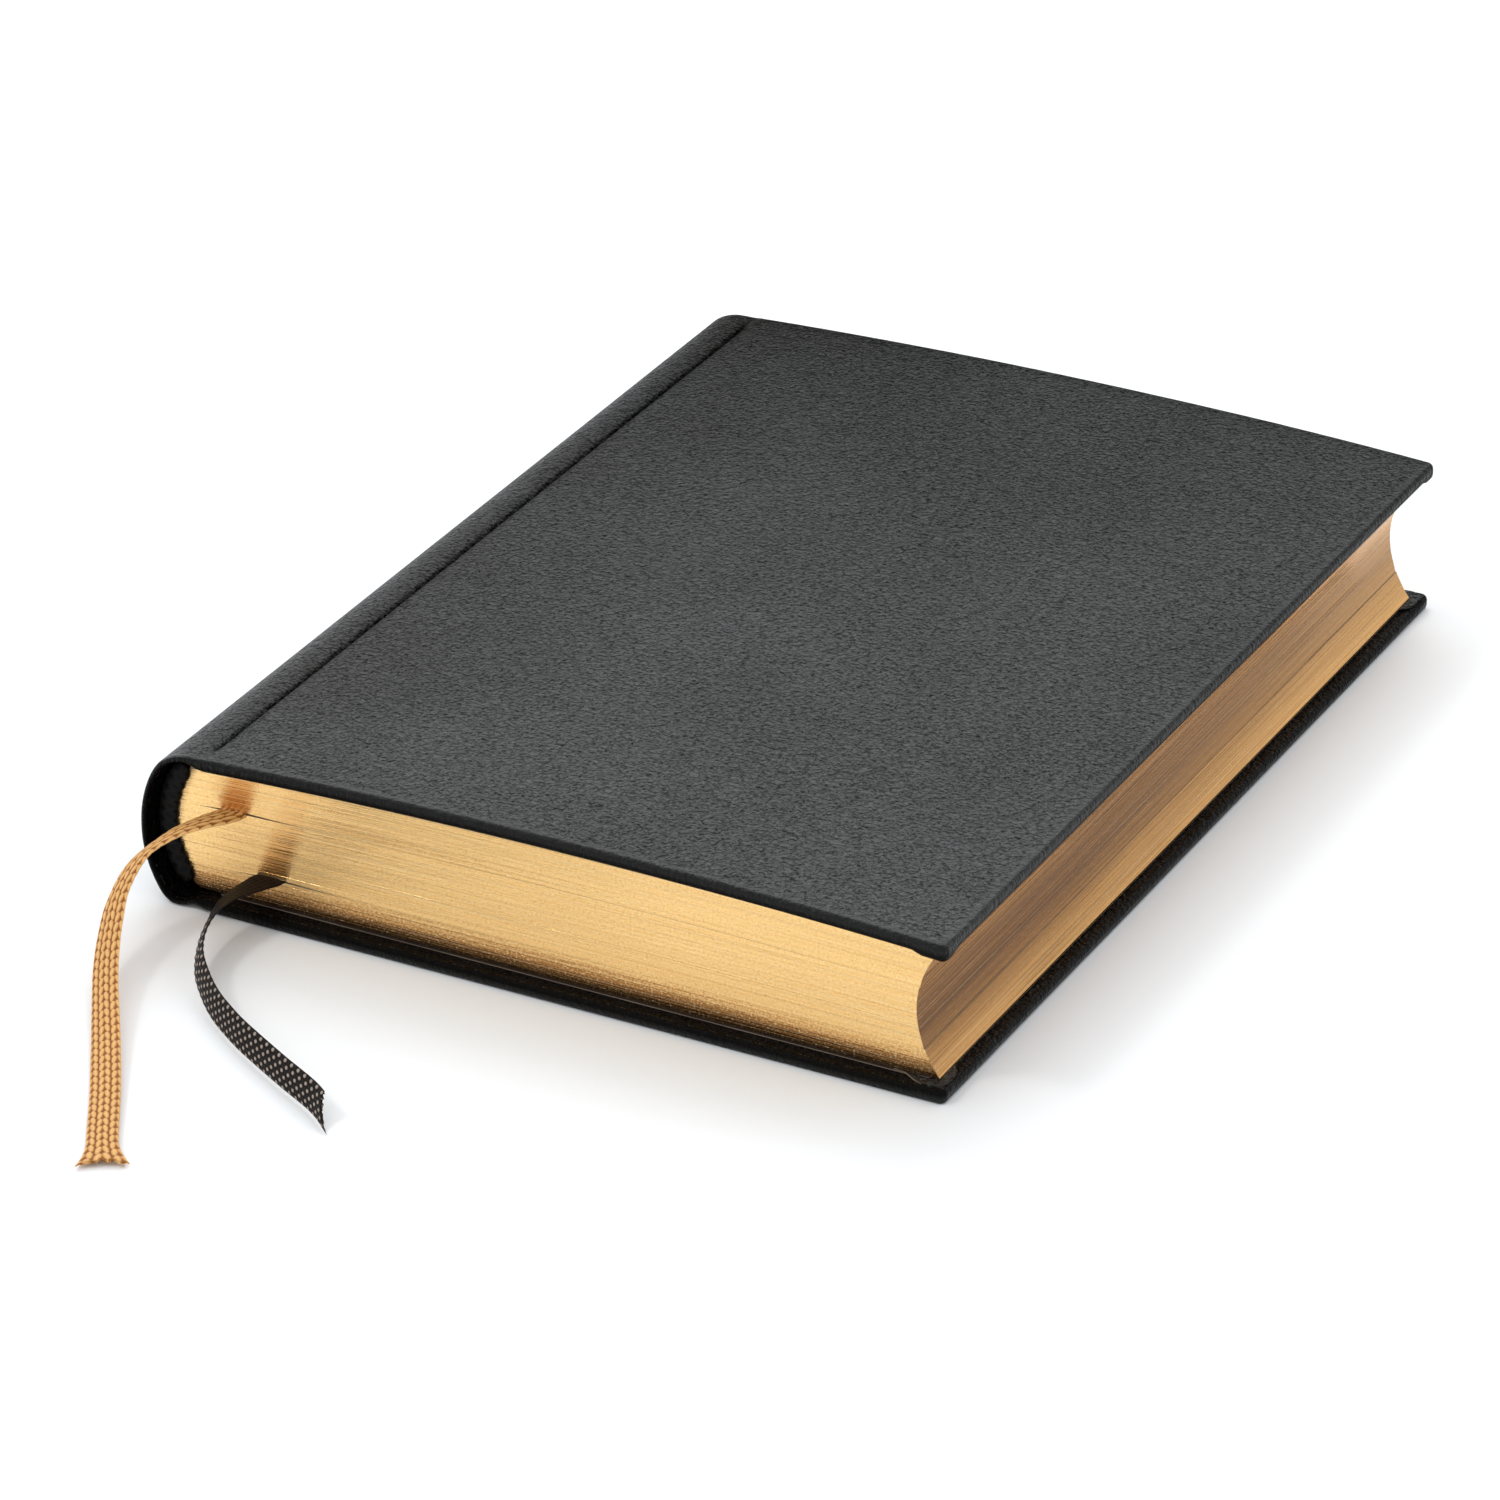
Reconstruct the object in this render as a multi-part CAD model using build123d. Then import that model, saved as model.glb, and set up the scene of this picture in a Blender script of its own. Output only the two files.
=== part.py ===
from build123d import *
import os
from math import ceil

# Case-bound bible, shut and lying on its back cover. Millimetres.
# Frame: origin at the centre of the back cover's resting face, +X from spine to fore edge,
# +Y from tail to head, +Z up through the pages. Profiles are written with x counted from the
# spine's outermost line, and at() moves them into the frame.

# ---- driving dimensions -------------------------------------------------------------------
WIDTH = 150.0            # spine's outermost line to the boards' fore edge
HEIGHT = 200.0           # tail edge to head edge of the boards
SQUARE = 3.5             # how far the boards overhang the pages at head and tail
LEAF_WIDTH = 138.6       # spine fold to fore edge of one leaf

LEATHER = 0.4            # pared cover leather
BOARD = 1.5              # cover board
PASTE_SHEET = 0.18       # endpaper glued to the board
TURN_IN = 13.0           # width of leather folded round onto the board's inner face
PASTE_INSET = 3.0        # pastedown's distance from the board's edges
CORNER = 2.0             # plan radius of the cover's outer corners
GAP = 0.02               # clearance between stacked layers

COVER = BOARD + 2 * LEATHER
CROWN = 1.8              # how far the pages swell upward at mid width
JOINT_X = 13.2           # where the front cover's stiff part starts
PAGES_TOP = 26.42        # top of the pages at the fold and at the fore edge
BACK_ROUND = 4.4         # depth of the rounded spine and of the hollow fore edge
BACK_X = 4.6             # outermost point of the pages' spine side

SECTIONS = 14
RIBBON_AFTER = {"brown": 3, "gold": 10}     # section under each ribbon
RIBBON_GAP = 0.4
RIBBON_THICK = 0.3
RIBBON_WIDTH = 5.2
RIBBON_X = {"brown": 23.2, "gold": 16.2}    # where each ribbon leaves the pages
FLYLEAF = 0.2
LOOSE_LEAVES = 6
LEAF_PITCH = FLYLEAF + 0.03
STUB_END = JOINT_X - 0.4

SPINE_START = (4.9, 0.0)                    # foot of the spine leather, at the back joint
SPINE_BOARD = 0.6                           # flexible card in the hollow of the spine
BACK_STRIP_START = 5.7                      # back cover leather begins beyond the spine's foot

# ---- places worked out from them ----------------------------------------------------------
HALF_W = WIDTH / 2
HALF_H = HEIGHT / 2
PAGE_HALF_H = HALF_H - SQUARE
BACK_TOP = COVER                            # inner face of the back cover leather
PASTE_BACK = BACK_TOP + GAP
PAGES_BOTTOM = PASTE_BACK + PASTE_SHEET + GAP
PASTE_FRONT = PAGES_TOP + 2 * GAP
FRONT_BOTTOM = PASTE_FRONT + PASTE_SHEET + GAP
PAGES_MID = (PAGES_BOTTOM + PAGES_TOP) / 2
LEAVES_BOTTOM = PAGES_TOP - (LOOSE_LEAVES + 1) * LEAF_PITCH
SECTIONS_BOTTOM = PAGES_BOTTOM + FLYLEAF + GAP
CROWN_MID = (WIDTH + JOINT_X) / 2
CROWN_HALF = (WIDTH - JOINT_X) / 2


# ---- helpers ------------------------------------------------------------------------------
def at(x, z, y=0.0):
    """Point of a cross-section, x counted from the spine's outermost line."""
    return Vector(x - HALF_W, y, z)


def line(start, end):
    return Edge.make_line(at(*start), at(*end))


def arc(start, middle, end):
    return Edge.make_three_point_arc(at(*start), at(*middle), at(*end))


def prism(edges, y_low, y_high):
    """Solid swept along Y from a closed cross-section."""
    face = Face(Wire(edges)).moved(Location((0, y_low, 0)))
    return Solid.extrude(face, Vector(0, y_high - y_low, 0))


def crowned(x, level):
    """Height at x of the layer whose height at fold and fore edge is level."""
    share = (level - BACK_TOP) / (PAGES_TOP - BACK_TOP)
    share = min(1.0, max(0.0, share))
    return level + CROWN * share * (1 - ((x - CROWN_MID) / CROWN_HALF) ** 2)


def layer_edge(x_start, x_end, level):
    x_mid = (x_start + x_end) / 2
    start, middle, end = [(x, crowned(x, level)) for x in (x_start, x_mid, x_end)]
    if abs(start[1] - middle[1]) + abs(end[1] - middle[1]) < 1e-6:
        return line(start, end)
    return arc(start, middle, end)


def sheet(x_start, x_end, level, thickness, y_low, y_high):
    """Thin slab that follows the pages' swelling."""
    top = level + thickness
    return prism(
        [
            layer_edge(x_start, x_end, level),
            line((x_end, crowned(x_end, level)), (x_end, crowned(x_end, top))),
            layer_edge(x_end, x_start, top),
            line((x_start, crowned(x_start, top)), (x_start, crowned(x_start, level))),
        ],
        y_low,
        y_high,
    )


def page_back(z):
    """x of the pages' rounded spine side at height z."""
    half = (PAGES_TOP - PAGES_BOTTOM) / 2
    return BACK_X + BACK_ROUND * ((z - PAGES_MID) / half) ** 2


def page_front(z):
    return page_back(z) + LEAF_WIDTH


def back_band(offset, thickness, z_low, z_high, y_low, y_high):
    """Curved band that wraps the pages' spine side, offset outward from it."""
    outline = []
    for reach in (offset, offset + thickness):
        outline.append([(page_back(z) - reach, z) for z in (z_low, PAGES_MID, z_high)])
    inner, outer = outline
    return prism(
        [arc(*inner), line(inner[2], outer[2]), arc(*reversed(outer)), line(outer[0], inner[0])],
        y_low,
        y_high,
    )


def group(solids):
    return Compound(children=list(solids))


# ---- cover boards, leather and endpapers ----------------------------------------------------
def rounded_plan(inset):
    """Tall block with the plan outline of a cover, its fore-edge corners rounded."""
    x_start = JOINT_X + inset
    body = Solid.make_box(WIDTH - inset - x_start, HEIGHT - 2 * inset, 60).moved(
        Location((x_start - HALF_W, inset - HALF_H, -10))
    )
    corners = body.edges().filter_by(Axis.Z).sort_by(Axis.X)[-2:]
    return body.fillet(CORNER - inset, corners)


def cover_parts(level, inner_up):
    """Board, leather with turn-ins, infill and pastedown of one cover.

    level is the cover's lowest height at its edges; inner_up is True for the back cover,
    whose inner face is its upper one.
    """
    across = (JOINT_X, WIDTH)
    along = (-HALF_H, HALF_H)
    envelope = sheet(*across, level, COVER, *along) & rounded_plan(0)
    board = sheet(*across, level + LEATHER, BOARD, *along) & rounded_plan(LEATHER + GAP)
    pocket = sheet(*across, level + LEATHER - GAP / 2, BOARD + GAP, *along) & rounded_plan(LEATHER)
    window_level = level + LEATHER + BOARD if inner_up else level - LEATHER
    window = sheet(
        JOINT_X + TURN_IN, WIDTH - TURN_IN, window_level, 2 * LEATHER,
        -HALF_H + TURN_IN, HALF_H - TURN_IN,
    )
    leather = envelope - pocket - window
    infill_level = level + LEATHER + BOARD + GAP if inner_up else level
    infill = sheet(
        JOINT_X + TURN_IN + GAP, WIDTH - TURN_IN - GAP, infill_level, LEATHER - GAP,
        -HALF_H + TURN_IN + GAP, HALF_H - TURN_IN - GAP,
    )
    paste_level = PASTE_BACK if inner_up else PASTE_FRONT
    pastedown = sheet(
        JOINT_X + 1.0, WIDTH - PASTE_INSET, paste_level, PASTE_SHEET,
        -HALF_H + PASTE_INSET, HALF_H - PASTE_INSET,
    )
    return board, leather, infill, pastedown


def back_joint_strip():
    """Leather of the back joint: a shallow groove pressed up between spine and board."""
    rise = 1.3
    x_mid = (BACK_STRIP_START + JOINT_X) / 2
    under = [(BACK_STRIP_START, 0.0), (x_mid, rise), (JOINT_X + 0.2, 0.0)]
    over = [(x, z + LEATHER) for x, z in under]
    return prism(
        [arc(*under), line(under[2], over[2]), arc(*reversed(over)), line(over[0], under[0])],
        -HALF_H,
        HALF_H,
    )


def build_covers():
    board, leather, infill, pastedown = cover_parts(0.0, True)
    nodes = {
        "back_board": board,
        "back_cover_leather": leather + back_joint_strip(),
        "back_infill": infill,
        "back_pastedown": pastedown,
    }
    board, leather, infill, pastedown = cover_parts(FRONT_BOTTOM, False)
    nodes["front_board"] = board
    nodes["front_cover_leather"] = leather
    nodes["front_infill"] = infill
    nodes["front_pastedown"] = pastedown
    return nodes


# ---- spine ----------------------------------------------------------------------------------
def spine_curve():
    """Outer face of the spine leather: foot, round back, shoulder, floor of the front groove."""
    points = [
        SPINE_START, (2.3, 3.8), (0.5, 9.0), (0.0, 14.0), (0.7, 19.5), (3.2, 25.4),
        (6.4, 28.0), (9.4, 28.75), (STUB_END, 28.1),
    ]
    return Edge.make_spline([at(x, z) for x, z in points])


def spine_band(curve, depth, thickness, start, end, y_half):
    """Band at a depth inside the spine's outer face, between two shares of its length."""
    steps = ceil((end - start) * 16)
    shares = [start + (end - start) * i / steps for i in range(steps + 1)]
    rims = []
    for reach in (depth, depth + thickness):
        rim = []
        for share in shares:
            along = curve.tangent_at(share)
            inward = Vector(along.Z, 0, -along.X)
            rim.append(curve.position_at(share) + inward * reach)
        rims.append(rim)
    outer = Edge.make_spline(rims[0])
    inner = Edge.make_spline(rims[1])
    caps = [Edge.make_line(rims[0][i], rims[1][i]) for i in (0, -1)]
    face = Face(Wire([outer, caps[1], inner, caps[0]])).moved(Location((0, -y_half, 0)))
    return Solid.extrude(face, Vector(0, 2 * y_half, 0))


def build_spine():
    curve = spine_curve()
    mull_offset = 1.2
    mull = 0.25
    lining = 0.3
    z_ends = (PAGES_BOTTOM + 1.0, PAGES_TOP - 1.0)
    stations = [-80.0, -48.0, -16.0, 16.0, 48.0, 80.0]
    threads = [
        back_band(0.7, 0.4, *z_ends, station - 0.3, station + 0.3) for station in stations
    ]
    lining_offset = mull_offset + mull + GAP
    return {
        "spine_leather": spine_band(curve, 0.0, LEATHER, 0.0, 1.0, HALF_H),
        "spine_inlay": spine_band(curve, LEATHER + GAP, SPINE_BOARD, 0.12, 0.62, HALF_H - 4.0),
        "sewing_threads": group(threads),
        "mull": back_band(mull_offset, mull, *z_ends, -84.0, 84.0),
        "spine_lining": back_band(lining_offset, lining, *z_ends, -90.0, 90.0),
    }


def end_band(y):
    """Braided cord at one end of the pages' spine side."""
    radius = 0.85
    inset = 1.3
    ends = (PAGES_BOTTOM + radius, PAGES_MID, PAGES_TOP - radius - 0.6)
    path = Edge.make_three_point_arc(*[at(page_back(z) + inset, z, y) for z in ends])
    start = Plane(origin=path.position_at(0), z_dir=path.tangent_at(0))
    profile = Face(Wire.make_circle(radius, start))
    return Solid.sweep(profile, path)


# ---- pages ----------------------------------------------------------------------------------
def section(level, thickness):
    """One sewn group of pages, with a rounded fold at the spine side."""
    top = level + thickness
    left_low = (page_back(level), crowned(page_back(level), level))
    left_high = (page_back(top), crowned(page_back(top), top))
    fold = ((left_low[0] + left_high[0]) / 2 - 0.4, (left_low[1] + left_high[1]) / 2)
    right_low = page_front(level)
    right_high = page_front(top)
    return prism(
        [
            layer_edge(left_low[0], right_low, level),
            line((right_low, crowned(right_low, level)), (right_high, crowned(right_high, top))),
            layer_edge(right_high, left_high[0], top),
            arc(left_high, fold, left_low),
        ],
        -PAGE_HALF_H,
        PAGE_HALF_H,
    )


def inner_ribbon(name, level):
    x = RIBBON_X[name]
    slack = (RIBBON_GAP - RIBBON_THICK) / 2
    return sheet(
        x - RIBBON_WIDTH / 2, x + RIBBON_WIDTH / 2, level + slack, RIBBON_THICK,
        -PAGE_HALF_H, PAGE_HALF_H - 2.0,
    )


def build_pages():
    nodes = {}
    spare = SECTIONS * GAP + len(RIBBON_AFTER) * RIBBON_GAP
    thickness = (LEAVES_BOTTOM - SECTIONS_BOTTOM - spare) / SECTIONS
    under = {count: name for name, count in RIBBON_AFTER.items()}
    level = SECTIONS_BOTTOM
    for number in range(1, SECTIONS + 1):
        nodes[f"section_{number:02d}"] = section(level, thickness)
        level += thickness + GAP
        if number in under:
            name = under[number]
            nodes[f"{name}_ribbon_inner"] = inner_ribbon(name, level - GAP)
            level += RIBBON_GAP

    nodes["back_flyleaf"] = sheet(
        page_back(PAGES_BOTTOM), page_front(PAGES_BOTTOM), PAGES_BOTTOM, FLYLEAF,
        -PAGE_HALF_H, PAGE_HALF_H,
    )
    stubs = []
    for number in range(LOOSE_LEAVES + 1):
        level = PAGES_TOP - FLYLEAF - number * LEAF_PITCH
        name = "front_flyleaf" if number == 0 else f"leaf_{number}"
        nodes[name] = sheet(
            JOINT_X, page_front(level), level, FLYLEAF, -PAGE_HALF_H, PAGE_HALF_H
        )
        stubs.append(
            sheet(page_back(level), STUB_END, level, FLYLEAF, -PAGE_HALF_H, PAGE_HALF_H)
        )
    nodes["leaf_stubs"] = group(stubs)
    return nodes


# ---- ribbon tails -----------------------------------------------------------------------------
# Centre lines outside the pages, out of the tail, round to the left and down onto the table:
# x, y, z and how many degrees the ribbon leans over there.
GOLD_PATH = [
    (16.2, -96.7, 18.35, 0), (15.4, -99.0, 18.5, 2), (13.0, -102.0, 18.2, 8),
    (9.9, -105.5, 17.0, 17), (6.4, -110.8, 13.9, 28), (6.4, -117.3, 10.5, 36),
    (8.6, -123.7, 7.6, 34), (11.5, -129.8, 5.3, 32), (15.0, -135.8, 3.8, 31),
    (18.6, -141.6, 2.7, 26), (22.3, -147.5, 1.9, 20), (29.5, -159.3, 1.1, 11),
    (36.4, -171.2, 0.85, 4), (42.0, -180.0, 0.8, 0),
]
BROWN_PATH = [
    (23.2, -96.7, 7.55, 0), (22.3, -99.0, 7.75, 0), (20.3, -105.1, 7.3, 16),
    (20.2, -110.4, 6.3, 44), (21.5, -115.9, 5.2, 63), (24.1, -121.2, 4.25, 70),
    (27.9, -125.7, 3.5, 74), (32.1, -129.7, 3.0, 74), (36.9, -133.4, 2.9, 74),
    (42.1, -136.9, 2.9, 74), (52.4, -142.9, 2.9, 74), (61.9, -148.2, 2.9, 74),
    (68.0, -153.5, 2.9, 74),
]
RIBBON_STEPS = 40


def lean_at(points, leans, share):
    """Lean in degrees at a share of the way along a centre line."""
    reached = [0.0]
    for before, after in zip(points, points[1:]):
        reached.append(reached[-1] + (after - before).length)
    wanted = share * reached[-1]
    for i in range(len(points) - 1):
        if wanted <= reached[i + 1]:
            part = (wanted - reached[i]) / (reached[i + 1] - reached[i])
            return leans[i] + part * (leans[i + 1] - leans[i])
    return leans[-1]


def ribbon_tail(path):
    """Thin strip along a centre line; its first ring is square to the pages, then it leans over."""
    points = [at(x, z, y) for x, y, z, _ in path]
    leans = [lean for *_, lean in path]
    curve = Edge.make_spline(points)
    rings = []
    for i in range(RIBBON_STEPS + 1):
        share = i / RIBBON_STEPS
        centre = curve.position_at(share)
        along = curve.tangent_at(share) if i else Vector(0, -1, 0)
        flat = Vector(-along.Y, along.X, 0).normalized()
        lean = lean_at(points, leans, share)
        side = flat.rotate(Axis((0, 0, 0), along), lean) * (RIBBON_WIDTH / 2)
        lift = along.cross(side).normalized() * (RIBBON_THICK / 2)
        corners = [
            centre - side - lift, centre + side - lift, centre + side + lift, centre - side + lift
        ]
        rings.append(Wire.make_polygon(corners, close=True))
    return Solid.make_loft(rings, ruled=True)


def build_all():
    nodes = build_covers()
    nodes.update(build_spine())
    nodes.update(build_pages())
    band_y = PAGE_HALF_H + 0.9
    nodes["headband"] = end_band(band_y)
    nodes["tailband"] = end_band(-band_y)
    nodes["gold_ribbon_tail"] = ribbon_tail(GOLD_PATH)
    nodes["brown_ribbon_tail"] = ribbon_tail(BROWN_PATH)
    return nodes


os.makedirs("parts", exist_ok=True)
for node_name, shape in build_all().items():
    export_step(shape, f"parts/{node_name}.step")
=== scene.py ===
import math

import bmesh
import bpy
import numpy as np
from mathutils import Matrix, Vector, noise


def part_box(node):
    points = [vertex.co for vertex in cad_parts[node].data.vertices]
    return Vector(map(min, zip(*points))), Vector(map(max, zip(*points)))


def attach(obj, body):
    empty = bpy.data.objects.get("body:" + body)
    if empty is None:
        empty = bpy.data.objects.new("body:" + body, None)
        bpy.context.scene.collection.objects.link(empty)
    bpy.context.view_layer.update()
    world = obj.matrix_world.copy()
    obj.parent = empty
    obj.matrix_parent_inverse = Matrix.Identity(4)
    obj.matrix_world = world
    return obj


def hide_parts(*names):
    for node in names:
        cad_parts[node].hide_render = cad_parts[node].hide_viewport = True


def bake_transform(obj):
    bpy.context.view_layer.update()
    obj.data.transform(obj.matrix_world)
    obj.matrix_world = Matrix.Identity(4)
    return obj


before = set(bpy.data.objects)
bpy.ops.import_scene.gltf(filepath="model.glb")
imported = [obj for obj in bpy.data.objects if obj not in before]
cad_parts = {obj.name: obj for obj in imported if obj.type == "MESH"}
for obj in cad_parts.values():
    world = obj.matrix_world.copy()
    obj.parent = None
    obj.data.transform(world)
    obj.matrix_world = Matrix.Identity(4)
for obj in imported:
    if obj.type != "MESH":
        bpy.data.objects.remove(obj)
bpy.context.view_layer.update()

# Bible, shut and lying on its back cover. Shapes are worked out in millimetres, with x counted
# from the spine's outermost line as on a binder's drawing, and moved into the frame by add_mesh().
MM = 0.001
rng = np.random.default_rng(7)


# ---- sizes -----------------------------------------------------------------------------------
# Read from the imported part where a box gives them. The plain numbers repeat the part's own
# dimensions, except REFLECTION_LEAN, which only places colour on the gilt.
def box_mm(node):
    low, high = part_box(node)
    return np.array(low) / MM, np.array(high) / MM


SPINE_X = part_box("spine_leather")[0].x / MM
front_low, front_high = box_mm("front_cover_leather")
back_low, back_high = box_mm("back_cover_leather")
WIDTH = front_high[0] - SPINE_X
HALF_H = front_high[1]
COVER = back_high[2]
FRONT_BOTTOM = front_low[2]
CROWN = front_high[2] - FRONT_BOTTOM - COVER
JOINT_X = front_low[0] - SPINE_X
PAGE_HALF_H = box_mm("section_01")[1][1]
PAGES_BOTTOM = box_mm("back_flyleaf")[0][2]
PASTE_GAP = 0.04          # between the pages and the front pastedown
PASTE_FRONT = box_mm("front_pastedown")[0][2]
PAGES_TOP = PASTE_FRONT - PASTE_GAP
PASTE_BACK = box_mm("back_pastedown")[0][2]
LEAF_WIDTH = 138.6        # fold to fore edge
BACK_X = 4.6              # the pages' back at mid thickness
BACK_ROUND = 4.4          # how far their back curves away from that at top and bottom
PAGES_MID = (PAGES_BOTTOM + PAGES_TOP) / 2
SECTIONS = sum(name.startswith("section_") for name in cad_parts)
LEAVES = ["front_flyleaf"] + sorted(set(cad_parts) & {f"leaf_{number}" for number in range(1, 10)})
LEAF_PITCH = 0.23         # one loose leaf and the air under it
FLYLEAF = 0.2
RIBBON_GAP = 0.4          # room a ribbon takes between two sections
RIBBON_AFTER = {3: "brown_ribbon_inner", 10: "gold_ribbon_inner"}
RIBBON_EXIT = {"brown_ribbon_inner": 23.2, "gold_ribbon_inner": 16.2}
REFLECTION_LEAN = 0.35    # sideways drift of the painted reflection above a ribbon, per height


# ---- curves and small maths ------------------------------------------------------------------
def smoothstep(value):
    value = np.clip(value, 0.0, 1.0)
    return value * value * (3 - 2 * value)


def bell(value):
    return np.exp(-np.square(value))


def crowned(x, level):
    """Height at x of a layer of the shut book; the layers swell upward towards the front cover."""
    share = np.clip((level - COVER) / (PAGES_TOP - COVER), 0.0, 1.0)
    middle = (WIDTH + JOINT_X) / 2
    half = (WIDTH - JOINT_X) / 2
    return level + CROWN * share * (1 - ((x - middle) / half) ** 2)


def page_back(z):
    """x of the pages' rounded spine side."""
    half = (PAGES_TOP - PAGES_BOTTOM) / 2
    return BACK_X + BACK_ROUND * ((z - PAGES_MID) / half) ** 2


def smooth_curve(points, count):
    """Catmull-Rom curve through the points, sampled evenly along its length."""
    points = np.array(points, float)
    ends = [2 * points[0] - points[1], 2 * points[-1] - points[-2]]
    padded = np.vstack([ends[0], points, ends[1]])
    share = np.linspace(0, 1, 24, endpoint=False)[:, None]
    pieces = []
    for i in range(len(points) - 1):
        a, b, c, d = padded[i:i + 4]
        pieces.append(
            0.5 * (2 * b + (c - a) * share + (2 * a - 5 * b + 4 * c - d) * share ** 2
                   + (3 * b - 3 * c + d - a) * share ** 3)
        )
    dense = np.vstack(pieces + [points[-1:]])
    length = np.concatenate([[0], np.cumsum(np.linalg.norm(np.diff(dense, axis=0), axis=1))])
    wanted = np.linspace(0, length[-1], count)
    return np.stack([np.interp(wanted, length, dense[:, k]) for k in range(dense.shape[1])], 1)


def soft_noise(points, size, seed):
    """Smooth noise in -1..1 at each point; size is its wavelength in millimetres."""
    shift = Vector((seed * 17.3, seed * 5.1, seed * 9.7))
    return np.array([noise.noise(Vector(p) / size + shift) for p in points])


# ---- mesh building ---------------------------------------------------------------------------
def add_mesh(name, points, faces, materials, face_slots=None, attributes=None, sharp_deg=40):
    """Closed mesh from points in millimetres, with outward faces and shading split at sharp edges."""
    points = np.array(points, float)
    points[:, 0] += SPINE_X
    mesh = bpy.data.meshes.new(name)
    mesh.from_pydata((points * MM).tolist(), [], [list(map(int, f)) for f in faces])
    for material in materials:
        mesh.materials.append(material)
    if face_slots is not None:
        mesh.polygons.foreach_set("material_index", np.array(face_slots, np.int32))
    for key, values in (attributes or {}).items():
        layer = mesh.attributes.new(key, "FLOAT", "POINT")
        layer.data.foreach_set("value", np.array(values, np.float32))
    work = bmesh.new()
    work.from_mesh(mesh)
    bmesh.ops.recalc_face_normals(work, faces=work.faces)
    work.to_mesh(mesh)
    work.free()
    mesh.polygons.foreach_set("use_smooth", np.ones(len(mesh.polygons), bool))
    mesh.set_sharp_from_angle(angle=math.radians(sharp_deg))
    piece = bpy.data.objects.new(name, mesh)
    bpy.context.scene.collection.objects.link(piece)
    return piece


def grid_quads(rows, columns, offset=0):
    row, column = np.meshgrid(np.arange(rows - 1), np.arange(columns - 1), indexing="ij")
    first = offset + row * columns + column
    return np.stack([first, first + 1, first + columns + 1, first + columns], -1).reshape(-1, 4)


def grid_rim(rows, columns):
    """Numbers of a grid's outside points, in order round it."""
    tail = list(range(columns))
    fore = [r * columns + columns - 1 for r in range(1, rows)]
    head = [(rows - 1) * columns + c for c in range(columns - 2, -1, -1)]
    spine = [r * columns for r in range(rows - 2, 0, -1)]
    return tail + fore + head + spine


def shell_faces(rows, columns):
    """Faces of a closed shell: an outer grid, an inner grid, and the wall between their rims."""
    count = rows * columns
    rim = grid_rim(rows, columns)
    wall = [[b, a, a + count, b + count] for a, b in zip(rim, rim[1:] + rim[:1])]
    outer = grid_quads(rows, columns)
    inner = grid_quads(rows, columns, count)[:, ::-1]
    return np.vstack([outer, inner, wall]), len(outer), len(wall)


# ---- material building -----------------------------------------------------------------------
class Nodes:
    """Short-hand for building one node material."""

    def __init__(self, name, **principled):
        self.material = bpy.data.materials.new(name)
        self.material.use_nodes = True
        self.tree = self.material.node_tree
        self.shader = self.tree.nodes["Principled BSDF"]
        for key, value in principled.items():
            self.shader.inputs[key.replace("_", " ")].default_value = value

    def add(self, kind, inputs=None, **settings):
        node = self.tree.nodes.new(kind)
        for key, value in settings.items():
            setattr(node, key, value)
        for key, value in (inputs or {}).items():
            if isinstance(value, bpy.types.NodeSocket):
                self.tree.links.new(value, node.inputs[key])
            else:
                node.inputs[key].default_value = value
        return node

    def place(self, scale=(1, 1, 1), turn=0.0):
        """Position in the frame, turned about Z and scaled."""
        where = self.add("ShaderNodeTexCoord").outputs["Object"]
        turned = self.add("ShaderNodeMapping", {"Vector": where, "Rotation": (0, 0, turn)})
        return self.add("ShaderNodeMapping", {"Vector": turned.outputs[0], "Scale": scale}).outputs[0]

    def noise(self, scale, place=None, detail=3.0, roughness=0.5):
        inputs = {"Scale": scale, "Detail": detail, "Roughness": roughness}
        inputs["Vector"] = place or self.place()
        return self.add("ShaderNodeTexNoise", inputs).outputs["Fac"]

    def cells(self, scale, place, smooth):
        inputs = {"Scale": scale, "Vector": place, "Smoothness": smooth}
        return self.add("ShaderNodeTexVoronoi", inputs, feature="SMOOTH_F1").outputs["Distance"]

    def axis(self, vector, letter):
        return self.add("ShaderNodeSeparateXYZ", {"Vector": vector}).outputs[letter]

    def maths(self, operation, a, b=0.0):
        return self.add("ShaderNodeMath", {0: a, 1: b}, operation=operation).outputs[0]

    def fit(self, value, low, high, to_low=0.0, to_high=1.0):
        inputs = {"Value": value, "From Min": low, "From Max": high, "To Min": to_low, "To Max": to_high}
        return self.add("ShaderNodeMapRange", inputs).outputs[0]

    def ramp(self, value, *stops):
        node = self.add("ShaderNodeValToRGB", {"Fac": value})
        elements = node.color_ramp.elements
        while len(elements) < len(stops):
            elements.new(0.5)
        for element, (position, colour) in zip(elements, stops):
            element.position = position
            element.color = (*colour, 1.0)
        return node.outputs["Color"]

    def mix(self, share, a, b):
        node = self.add("ShaderNodeMix", {"Factor": share}, data_type="RGBA")
        for socket, colour in ((node.inputs["A"], a), (node.inputs["B"], b)):
            self.set(socket, colour)
        return node.outputs["Result"]

    def set(self, socket, value):
        if isinstance(value, bpy.types.NodeSocket):
            self.tree.links.new(value, socket)
        elif isinstance(value, tuple) and len(value) == 3 and socket.type == "RGBA":
            socket.default_value = (*value, 1.0)
        else:
            socket.default_value = value

    def attribute(self, name):
        return self.add("ShaderNodeAttribute", attribute_name=name).outputs["Fac"]

    def bump(self, height, distance, strength=1.0, after=None):
        inputs = {"Height": height, "Distance": distance, "Strength": strength}
        if after is not None:
            inputs["Normal"] = after
        return self.add("ShaderNodeBump", inputs).outputs["Normal"]

    def finish(self, colour=None, roughness=None, normal=None):
        for key, value in (("Base Color", colour), ("Roughness", roughness), ("Normal", normal)):
            if value is not None:
                self.set(self.shader.inputs[key], value)
        return self.material


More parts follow.
